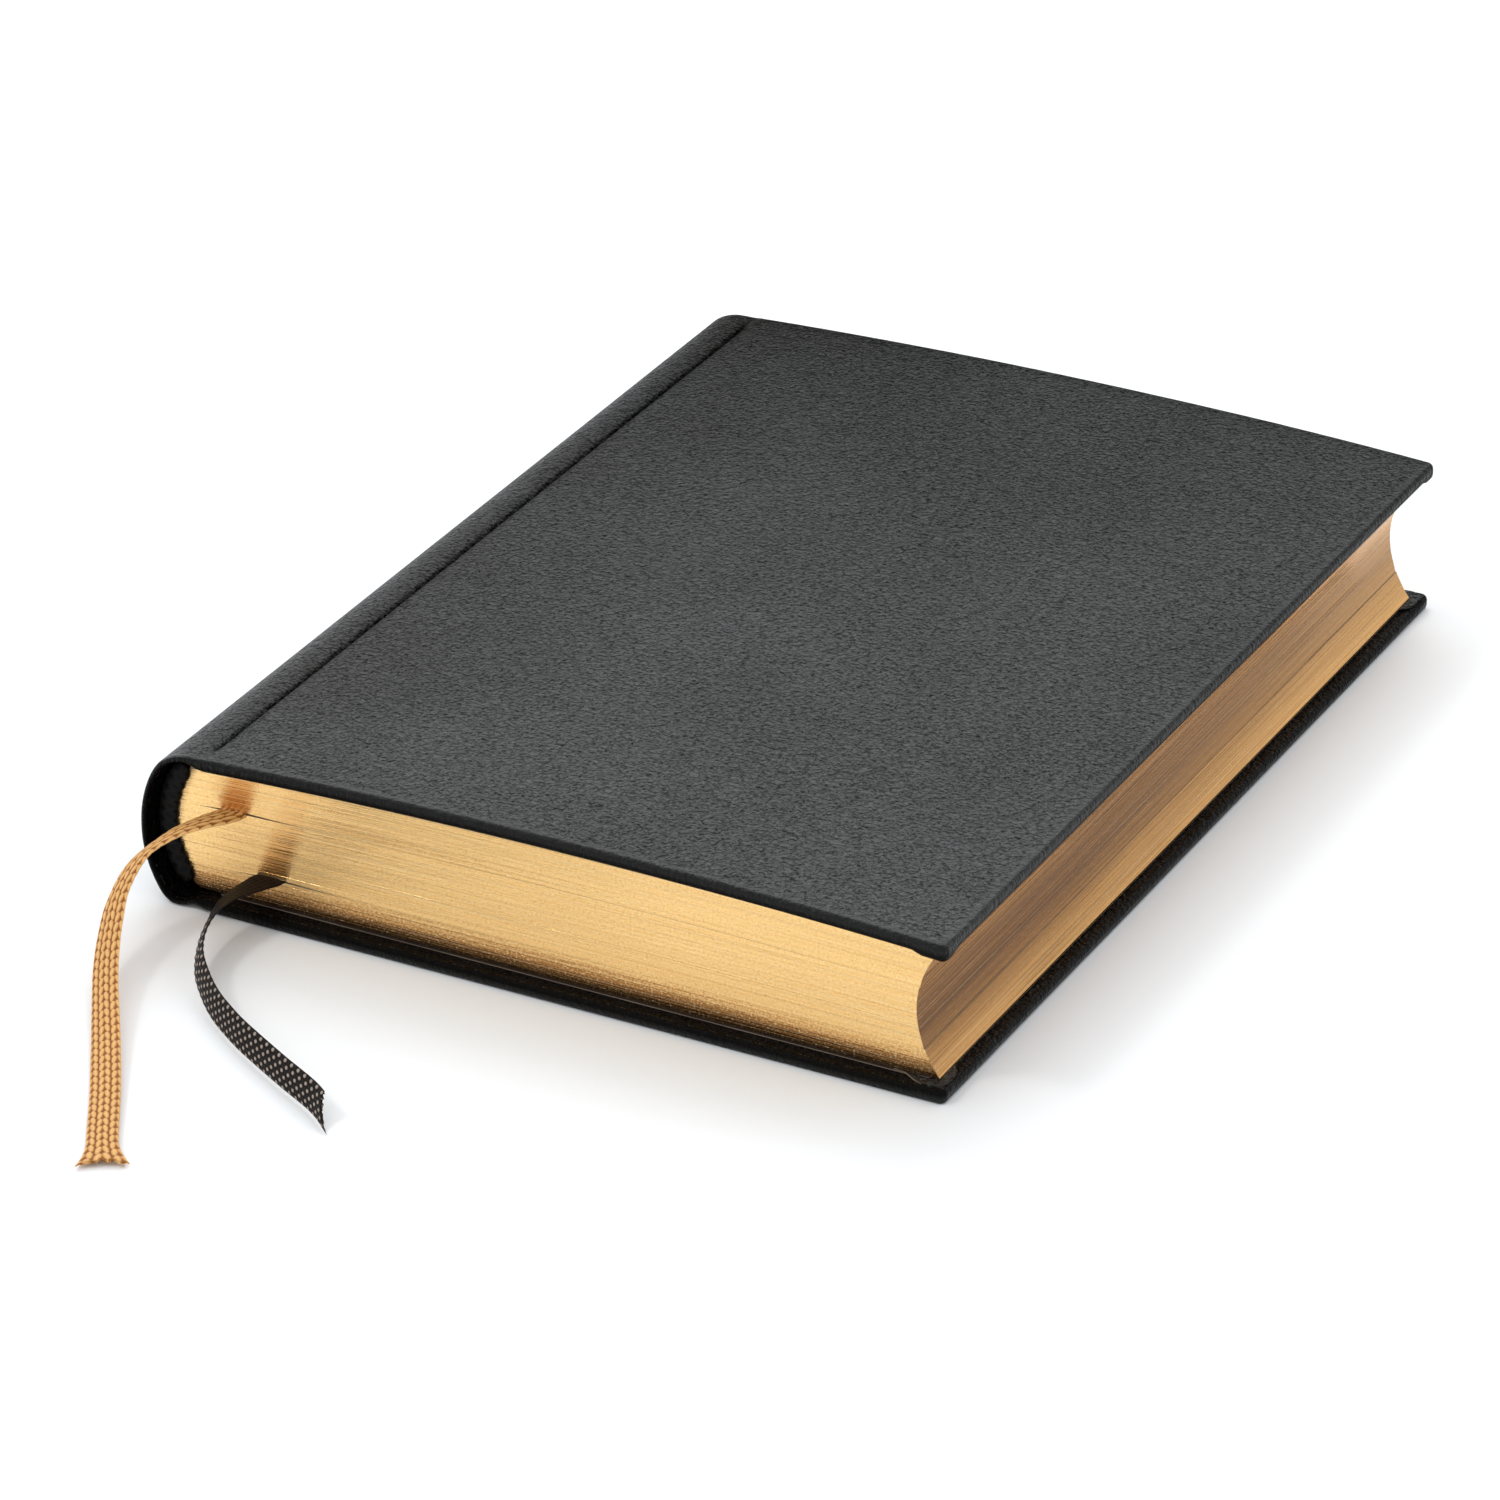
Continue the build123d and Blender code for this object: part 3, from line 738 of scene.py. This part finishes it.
def section_mesh(name, low, high, below, above):
    """One sewn group of pages with its gilt edges as fine ridges; below and above name ribbons."""
    ridges = max(2, round((high - low) / RIDGE))
    level_rows = []
    inset_rows = []
    ridge_of_row = []
    for ridge in range(ridges):
        for share, inset in ((0.0, RIDGE_DEPTH), (0.22, 0.0), (0.78, 0.0)):
            level_rows.append((ridge + share) / ridges)
            inset_rows.append(inset)
            ridge_of_row.append(ridge)
    level_rows.append(1.0)
    inset_rows.append(RIDGE_DEPTH)
    ridge_of_row.append(ridges - 1)
    level_rows = np.array(level_rows)
    columns = 64
    fore_points = 60
    wander_tail = edge_wander(columns, ridges, 7, 0.006)[ridge_of_row]
    wander_fore = edge_wander(fore_points, ridges, 8, 0.010)[ridge_of_row]
    wander_head = edge_wander(columns, ridges, 7, 0.006)[ridge_of_row]
    share = np.linspace(0, 1, columns)
    fore_y = np.linspace(-PAGE_HALF_H, PAGE_HALF_H, fore_points)
    points = []
    for row, part in enumerate(level_rows):
        level = low + (high - low) * part
        left = page_back(level) - 0.35 * math.sin(math.pi * part)
        right = page_back(level) + LEAF_WIDTH
        x = left + (right - left) * share
        z = crowned(x, level)
        if below is not None:
            z = z - (RIBBON_GAP - ribbon_opening(x, below)) * (1 - part)
        inset = inset_rows[row]
        tail = np.stack([x, -PAGE_HALF_H + inset - wander_tail[row], z], 1)
        head = np.stack([x, PAGE_HALF_H - inset + wander_head[row], z], 1)
        fore = np.stack([right - inset + wander_fore[row], fore_y, np.full(fore_points, z[-1])], 1)
        tail[-1, 0] = fore[0, 0]
        head[-1, 0] = fore[-1, 0]
        points += [tail, fore[1:-1], head[::-1]]
    ring = 2 * columns + fore_points - 2
    rows = len(level_rows)
    faces = []
    slots = []
    index = np.arange(ring)
    for row in range(rows - 1):
        a = row * ring + index
        b = row * ring + (index + 1) % ring
        faces += np.stack([a, b, b + ring, a + ring], 1).tolist()
        slots += [1] * (ring - 1) + [0]
    for row in (0, rows - 1):
        base = row * ring
        last = base + ring - 1
        for c in range(columns - 2):
            faces.append([base + c, base + c + 1, last - c - 1, last - c])
            slots.append(0)
        faces.append(list(range(base + columns - 2, last - columns + 3)))
        slots.append(0)
    points = np.vstack(points)
    layer = np.repeat(low + (high - low) * level_rows, ring)
    inward = points[:, 0] - page_back(layer)
    # Painted shade: sections beside a ribbon take the brown lining paper on their flat faces, for the slit
    # that shows between them.
    inner_face = PAPER if below is None and above is None else LINING
    return add_mesh(
        name, points, faces, [inner_face, GILT], face_slots=slots,
        attributes={"layer": layer, "inward": inward}, sharp_deg=50,
    )


def build_sections():
    gap = 0.02
    bottom = PAGES_BOTTOM + FLYLEAF + gap
    top = PAGES_TOP - len(LEAVES) * LEAF_PITCH
    thickness = (top - bottom - SECTIONS * gap - len(RIBBON_AFTER) * RIBBON_GAP) / SECTIONS
    level = bottom
    below = None
    for number in range(1, SECTIONS + 1):
        above = RIBBON_AFTER.get(number)
        piece = section_mesh(f"pages_{number:02d}", level, level + thickness, below, above)
        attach(piece, "text_block")
        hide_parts(f"section_{number:02d}")
        level += thickness + gap
        below = above
        if above is not None:
            level += RIBBON_GAP


def leaf_mesh(name, level, thickness, face_material):
    """One thin leaf from the fold to the fore edge, gilt round its three outer edges."""
    left = page_back(level)
    right = left + LEAF_WIDTH
    x = np.concatenate([np.linspace(left, 46, 46, endpoint=False), np.linspace(46, right, 34)])
    y = np.linspace(-PAGE_HALF_H, PAGE_HALF_H, 9)
    points = sheet_points(x, y, level, thickness)
    edge = rng.normal(0, 0.02, 3)
    points[:, 1] += np.where(points[:, 1] < -PAGE_HALF_H + 0.1, -edge[0], 0)
    points[:, 1] += np.where(points[:, 1] > PAGE_HALF_H - 0.1, edge[1], 0)
    points[:, 0] += np.where(points[:, 0] > right - 0.1, edge[2], 0)
    faces, grid_count, wall_count = shell_faces(len(y), len(x))
    slots = [0] * (2 * grid_count) + [1] * wall_count
    fields = {"layer": np.full(len(points), level), "inward": points[:, 0] - left}
    return add_mesh(name, points, faces, [face_material, GILT], face_slots=slots, attributes=fields)


def build_leaves():
    for number, node in enumerate(LEAVES):
        level = PAGES_TOP - FLYLEAF - number * LEAF_PITCH
        material = ENDPAPER if number == 0 else PAPER
        piece = leaf_mesh("sheet_" + node, level, FLYLEAF - 0.02, material)
        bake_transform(piece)
        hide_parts(*([node, "leaf_stubs"] if number == 0 else [node]))
    piece = leaf_mesh("sheet_back_flyleaf", PAGES_BOTTOM, FLYLEAF, ENDPAPER)
    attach(piece, "text_block")
    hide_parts("back_flyleaf")


# ---- head and tail bands ---------------------------------------------------------------------
def build_band(name, node, side):
    """Flattened braid sewn over the end of the pages' rounded back."""
    rings = 260
    around = 28
    z = np.linspace(PAGES_BOTTOM + 0.9, PAGES_TOP - 1.0, rings)
    centre = np.stack([page_back(z) - 0.9, np.full(rings, side * (PAGE_HALF_H + 0.4)), z], 1)
    along = np.gradient(centre, axis=0)
    along /= np.linalg.norm(along, axis=1)[:, None]
    across = np.cross(along, (0.0, 1.0, 0.0))
    angle = np.linspace(0, 2 * math.pi, around, endpoint=False)
    points = []
    stitch = []
    for i in range(rings):
        end = math.sqrt(max(0.02, 1 - abs(2 * i / (rings - 1) - 1) ** 14))
        turn = z[i] * 3.1
        braid = np.maximum(np.sin(3 * angle + turn), np.sin(-3 * angle + turn + 1.2))
        swell = 1 + 0.10 * braid
        wide = 1.6 * np.cos(angle) * swell * end
        deep = 0.6 * np.sin(angle) * swell * end
        points.append(centre[i] + across[i] * wide[:, None] + np.array([0.0, 1.0, 0.0]) * deep[:, None])
        stitch.append(0.5 + 0.5 * braid)
    index = np.arange(around)
    faces = []
    for i in range(rings - 1):
        a = i * around + index
        b = i * around + (index + 1) % around
        faces += np.stack([a, b, b + around, a + around], 1).tolist()
    faces += [list(range(around))[::-1], list(range((rings - 1) * around, rings * around))]
    piece = add_mesh(name, np.vstack(points), faces, [BAND], attributes={"stitch": np.concatenate(stitch)})
    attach(piece, "text_block")
    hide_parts(node)


# ---- ribbons ---------------------------------------------------------------------------------
# Centre lines of the ribbon tails: x, y, z and how many degrees the ribbon leans over there.
# The places were measured on the photo and put through a fitted camera by a separate program.
GOLD_PATH = [
    (16.2, -94.0, 18.35, 0), (16.2, -96.7, 18.35, 0), (15.4, -99.0, 18.5, 2), (13.0, -102.0, 18.2, 8),
    (9.9, -105.5, 17.0, 17), (6.4, -110.8, 13.9, 28), (6.4, -117.3, 10.5, 36), (8.6, -123.7, 7.6, 34),
    (11.5, -129.8, 5.3, 32), (15.0, -135.8, 3.8, 31), (18.6, -141.6, 2.7, 26), (22.3, -147.5, 1.9, 20),
    (29.5, -159.3, 1.1, 11), (36.4, -171.2, 0.85, 4), (41.0, -178.6, 0.8, 0),
]
BROWN_PATH = [
    (23.2, -94.0, 7.55, 0), (23.2, -96.7, 7.55, 0), (22.3, -99.0, 7.75, 0), (20.3, -105.1, 7.3, 24),
    (20.2, -110.4, 6.3, 54), (21.5, -115.9, 5.2, 70), (24.1, -121.2, 4.25, 74), (27.9, -125.7, 3.5, 74),
    (32.1, -129.7, 3.0, 74), (36.9, -133.4, 2.9, 74), (42.1, -136.9, 2.9, 74), (52.4, -142.9, 2.9, 74),
    (61.9, -148.2, 2.9, 74), (68.0, -153.3, 2.9, 74),
]


def knit_height(u, v):
    """Height 0..1 of the gold ribbon: plaited columns of tear-shaped stitches."""
    place = (u + 1) / 2 * 5 + 0.5
    column = np.floor(place)
    across = (place - column) * 2 - 1
    step = v / 2.1 + 0.5 * (np.floor(column / 2) % 2) + 0.08 * column
    phase = step - np.floor(step)
    lean = np.where(column % 2 > 0, 1.0, -1.0) * (phase - 0.5) * 0.6
    half = 0.50 + 0.50 * np.sin(math.pi * phase ** 0.7)
    body = np.sqrt(np.clip(1 - ((across - lean) / half) ** 2, 0, 1))
    return body * (0.84 + 0.16 * np.sin(math.pi * phase) ** 0.6)


def fleck_height(u, v):
    """Height 0..1 of the brown ribbon: staggered pale flecks on dark ribs."""
    columns = 6
    place = (u + 1) / 2 * columns
    column = np.floor(np.clip(place, 0, columns - 1e-6))
    across = (place - column) * 2 - 1
    step = v / 2.0 + 0.5 * (column % 2)
    along = (step - np.floor(step)) * 2 - 1
    rib = 0.42 * np.sqrt(np.clip(1 - across ** 2, 0, 1)) * (0.75 + 0.25 * np.cos(2 * math.pi * step * 2))
    fleck = np.clip(1.8 - 1.8 * np.sqrt((across / 1.15) ** 2 + (along / 0.62) ** 2), 0, 1)
    # Painted shade near the pages: the flecks fade towards the exit, in relief as well as colour.
    fleck = fleck * (0.35 + 0.65 * smoothstep((v - 12.0) / 14.0))
    return np.maximum(rib, fleck)


def ribbon_frame(path, count):
    """Centre, side and lift directions along a ribbon, and the length reached."""
    along_path = smooth_curve(path, count)
    centre = along_path[:, :3]
    turn = np.radians(along_path[:, 3:])
    along = np.gradient(centre, axis=0)
    along /= np.linalg.norm(along, axis=1)[:, None]
    flat = np.stack([-along[:, 1], along[:, 0], np.zeros(count)], 1)
    flat /= np.linalg.norm(flat, axis=1)[:, None]
    lift = np.cross(along, flat)
    side = flat * np.cos(turn) + lift * np.sin(turn)
    up = lift * np.cos(turn) - flat * np.sin(turn)
    length = np.concatenate([[0], np.cumsum(np.linalg.norm(np.diff(centre, axis=0), axis=1))])
    return centre, side, up, length


def ribbon_mesh(name, path, height, half_width, cut, fibre_step, material):
    """Ribbon strip with raised stitches on both faces, a shaped cut and loose fibres at its end."""
    count = 900
    across = 71
    centre, side, lift, length = ribbon_frame(path, count)
    total = length[-1]
    u = np.linspace(-1, 1, across)
    ragged = np.interp(u, np.linspace(-1, 1, 24), rng.uniform(0, 0.8, 24))
    reach = 1 - (cut(u) + ragged) / total
    places = length[:, None] * (1 - (1 - reach[None, :]) * (length[:, None] / total) ** 6)

    def along(values):
        return np.stack([np.interp(places, length, values[:, k]) for k in range(3)], -1)

    half = half_width(total - places)
    bow = 0.30 * (1 - u ** 2)
    flat = along(centre) + along(side) * (u * half)[..., None] + along(lift) * bow[None, :, None]
    edge = np.sqrt(np.clip(1 - u ** 6, 0, 1))[None, :]
    layers = []
    raised = []
    for face in (1, -1):
        stitch = height(u[None, :] * face, places)
        layers.append(flat + along(lift) * (face * (0.13 + 0.22 * stitch) * edge)[..., None])
        raised.append(stitch.ravel())
    points = np.vstack([layer.reshape(-1, 3) for layer in layers])
    points[:, 2] = np.maximum(points[:, 2], 0.06)
    faces, _, _ = shell_faces(count, across)
    heading = centre[-1] - centre[-12]
    fibre_points, fibre_faces = loose_fibres(flat[-1, ::fibre_step], heading, lift[-1], len(points))
    points = np.vstack([points, fibre_points])
    stitch = np.concatenate(raised + [rng.uniform(0.25, 0.6, len(fibre_points))])
    faces = faces.tolist() + fibre_faces
    return add_mesh(name, points, faces, [material], attributes={"stitch": stitch}, sharp_deg=80)


def loose_fibres(end_row, along, lift, offset):
    """Short tapered threads that stick out of a cut ribbon end."""
    along = along / np.linalg.norm(along)
    points = []
    faces = []
    sides = 5
    rings = 6
    for start in end_row[1:-1]:
        length = rng.uniform(0.5, 1.3)
        drift = along * length + rng.normal(0, 0.35, 3) * (1, 1, 0.5)
        bend = rng.normal(0, 0.25, 3)
        radius = rng.uniform(0.09, 0.16)
        base = offset + len(points)
        across = np.cross(along, lift)
        for ring in range(rings):
            share = ring / (rings - 1)
            middle = start - along * 0.4 + drift * share + bend * share ** 2
            thin = radius * (1 - 0.75 * share)
            for k in range(sides):
                angle = 2 * math.pi * k / sides
                points.append(middle + thin * (math.cos(angle) * across + math.sin(angle) * lift))
        for ring in range(rings - 1):
            for k in range(sides):
                a = base + ring * sides + k
                b = base + ring * sides + (k + 1) % sides
                faces.append([a, b, b + sides, a + sides])
        faces.append([base + k for k in range(sides)][::-1])
        faces.append([base + (rings - 1) * sides + k for k in range(sides)])
    points = np.array(points)
    points[:, 2] = np.maximum(points[:, 2], 0.08)
    return points, faces


def build_ribbon(colour, path, height, half_width, cut, fibre_step, material):
    piece = ribbon_mesh(f"{colour}_ribbon_knit", path, height, half_width, cut, fibre_step, material)
    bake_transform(piece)
    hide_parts(f"{colour}_ribbon_tail")


def gold_half_width(to_end):
    """Half width of the gold ribbon; its cut end fans out."""
    return 2.6 + 1.9 * np.clip((8.0 - to_end) / 8.0, 0, 1) ** 2


def brown_half_width(to_end):
    return 2.6 + 0 * to_end


def gold_cut(u):
    """How far short of the full length the gold ribbon ends across its width."""
    return 0.6 * np.cos(2.2 * u) + 0.3


def brown_cut(u):
    """Hollow slanting cut: the lower edge runs on to a thin tip."""
    return 5.2 * ((u + 1) / 2) ** 0.45


# ---- carried-over CAD nodes, stage, camera ---------------------------------------------------
def finish_cad_nodes():
    finishes = {
        "front_board": CARD, "back_board": CARD, "front_infill": CARD, "back_infill": CARD,
        "spine_inlay": CARD, "mull": MULL, "sewing_threads": THREAD, "spine_lining": LINING,
        "gold_ribbon_inner": GOLD_KNIT, "brown_ribbon_inner": BROWN_KNIT,
    }
    for node, material in finishes.items():
        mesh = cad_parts[node].data
        mesh.materials.clear()
        mesh.materials.append(material)


def build_stage():
    """White table that runs out of view, seen under soft light."""
    mesh = bpy.data.meshes.new("table")
    reach = 6.0
    corners = [(-reach, -reach, 0), (reach, -reach, 0), (reach, reach, 0), (-reach, reach, 0)]
    mesh.from_pydata(corners, [], [(0, 1, 2, 3)])
    table = bpy.data.objects.new("table", mesh)
    bpy.context.scene.collection.objects.link(table)
    n = Nodes("white_table")
    speck = n.noise(4.0, detail=2.0)
    white = n.ramp(speck, (0.0, (0.918, 0.931, 0.946)), (1.0, (0.932, 0.943, 0.955)))
    mesh.materials.append(n.finish(white, 0.8))


def add_light(name, place, aim, size, power, colour):
    data = bpy.data.lights.new(name, "AREA")
    data.shape = "RECTANGLE"
    data.size, data.size_y = size
    data.energy = power
    data.color = colour
    lamp = bpy.data.objects.new(name, data)
    lamp.location = place
    lamp.rotation_euler = (Vector(aim) - Vector(place)).to_track_quat("-Z", "Y").to_euler()
    bpy.context.scene.collection.objects.link(lamp)


def build_light():
    world = bpy.data.worlds.new("studio")
    bpy.context.scene.world = world
    world.use_nodes = True
    tree = world.node_tree
    direction = tree.nodes.new("ShaderNodeTexCoord").outputs["Generated"]
    slope = tree.nodes.new("ShaderNodeVectorMath")
    slope.operation = "DOT_PRODUCT"
    slope.inputs[1].default_value = (-0.05, 0.20, 0.05)
    tree.links.new(direction, slope.inputs[0])
    level = tree.nodes.new("ShaderNodeMath")
    level.operation = "ADD"
    level.inputs[1].default_value = 0.985
    tree.links.new(slope.outputs["Value"], level.inputs[0])
    background = tree.nodes["Background"]
    background.inputs["Color"].default_value = (0.965, 0.985, 1.0, 1.0)
    tree.links.new(level.outputs[0], background.inputs["Strength"])
    add_light("soft_back", (-0.35, 0.70, 0.98), (0, 0, 0), (0.9, 0.7), 4.4, (0.985, 0.995, 1.0))
    add_light("front_glint", (-0.45, -0.55, 0.85), (0, 0, 0), (0.15, 0.15), 1.5, (1.0, 0.995, 0.98))


def build_camera():
    """Long lens, looking down at the tail edge from the fore-edge side."""
    azimuth = math.radians(27.45)
    elevation = math.radians(27.92)
    distance = 1.2767
    target = Vector(((SPINE_X + 61.6) * MM, 0.0029, -0.0054))
    back = Vector((
        math.sin(azimuth) * math.cos(elevation),
        -math.cos(azimuth) * math.cos(elevation),
        math.sin(elevation),
    ))
    data = bpy.data.cameras.new("camera")
    data.lens = 173.8
    data.sensor_width = 36.0
    data.clip_end = 50.0
    camera = bpy.data.objects.new("camera", data)
    camera.location = target + back * distance
    camera.rotation_euler = (-back).to_track_quat("-Z", "Y").to_euler()
    bpy.context.scene.collection.objects.link(camera)
    bpy.context.scene.camera = camera


build_front_leather()
build_back_leather()
build_pastedown("front_endpaper", "front_cover", PASTE_FRONT, False)
build_pastedown("back_endpaper", "back_cover", PASTE_BACK, True)
build_mitre("back_mitre_tail", "back_cover", COVER, 1, -1)
build_mitre("back_mitre_head", "back_cover", COVER, 1, 1)
build_sections()
build_leaves()
build_band("head_braid", "headband", 1)
build_band("tail_braid", "tailband", -1)
build_ribbon("gold", GOLD_PATH, knit_height, gold_half_width, gold_cut, 4, GOLD_KNIT)
build_ribbon("brown", BROWN_PATH, fleck_height, brown_half_width, brown_cut, 23, BROWN_KNIT)
finish_cad_nodes()
build_stage()
build_light()
build_camera()
bpy.context.scene.view_settings.view_transform = "Standard"
